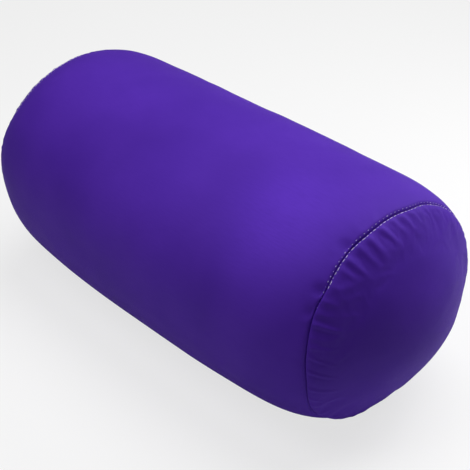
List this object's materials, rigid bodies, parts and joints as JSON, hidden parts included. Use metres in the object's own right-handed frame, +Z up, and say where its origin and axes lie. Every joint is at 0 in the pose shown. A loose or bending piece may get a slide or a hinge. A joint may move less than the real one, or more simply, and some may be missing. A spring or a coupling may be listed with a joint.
{
  "type": "round yoga bolster",
  "caption": "Short round bolster pillow with gathered, domed ends, a zipped stretch cover and a bead-filled inner casing.",
  "frame": {"origin": "middle of the flat on the underside, where the bolster rests", "axes": "+X along the bolster towards its near end, +Y towards the zip, +Z up"},
  "size_m": [0.3686, 0.1799, 0.1615],
  "materials": {
    "cover_cloth": "purple stretch knit, smooth with a slight sheen",
    "cover_thread": "pale lilac sewing thread",
    "zip_tape": "purple woven tape",
    "zip_coil": "purple nylon coil",
    "zip_metal": "nickel-plated zinc alloy, lightly worn",
    "liner_cloth": "white thin woven liner",
    "liner_thread": "white sewing thread",
    "beads": "white expanded polystyrene micro beads"
  },
  "bodies": {
    "cushion": {"cover_body_panel": "cover_cloth", "cover_end_panel_near": "cover_cloth", "cover_end_panel_far": "cover_cloth", "near_end_seam_thread": "cover_thread", "far_end_seam_thread": "cover_thread", "near_end_overlock": "cover_thread", "far_end_overlock": "cover_thread", "near_side_seam_thread": "cover_thread", "far_side_seam_thread": "cover_thread", "zip_topstitching": "cover_thread", "zip_tape_upper": "zip_tape", "zip_tape_lower": "zip_tape", "zip_coil_upper": "zip_coil", "zip_coil_lower": "zip_coil", "zip_top_stop_upper": "zip_metal", "zip_top_stop_lower": "zip_metal", "zip_bottom_stop": "zip_metal", "inner_casing_tube": "liner_cloth", "near_inner_casing_end": "liner_cloth", "far_inner_casing_end": "liner_cloth", "near_casing_seam_thread": "liner_thread", "far_casing_seam_thread": "liner_thread", "bead_filling": "beads"},
    "zip_slider": {"zip_slider_body": "zip_metal"},
    "zip_pull": {"zip_pull_tab": "zip_metal"}
  },
  "joints": [
    {"name": "zip_slide", "type": "slide", "parent": "cushion", "child": "zip_slider", "axis": [-1, 0, 0], "range_m": [0, 0.1855]},
    {"name": "pull_swing", "type": "hinge", "parent": "zip_slider", "child": "zip_pull", "pos_m": [0.09275, 0.08944, 0.08157], "axis": [0, 0, -1], "range_deg": [0, 180]}
  ]
}
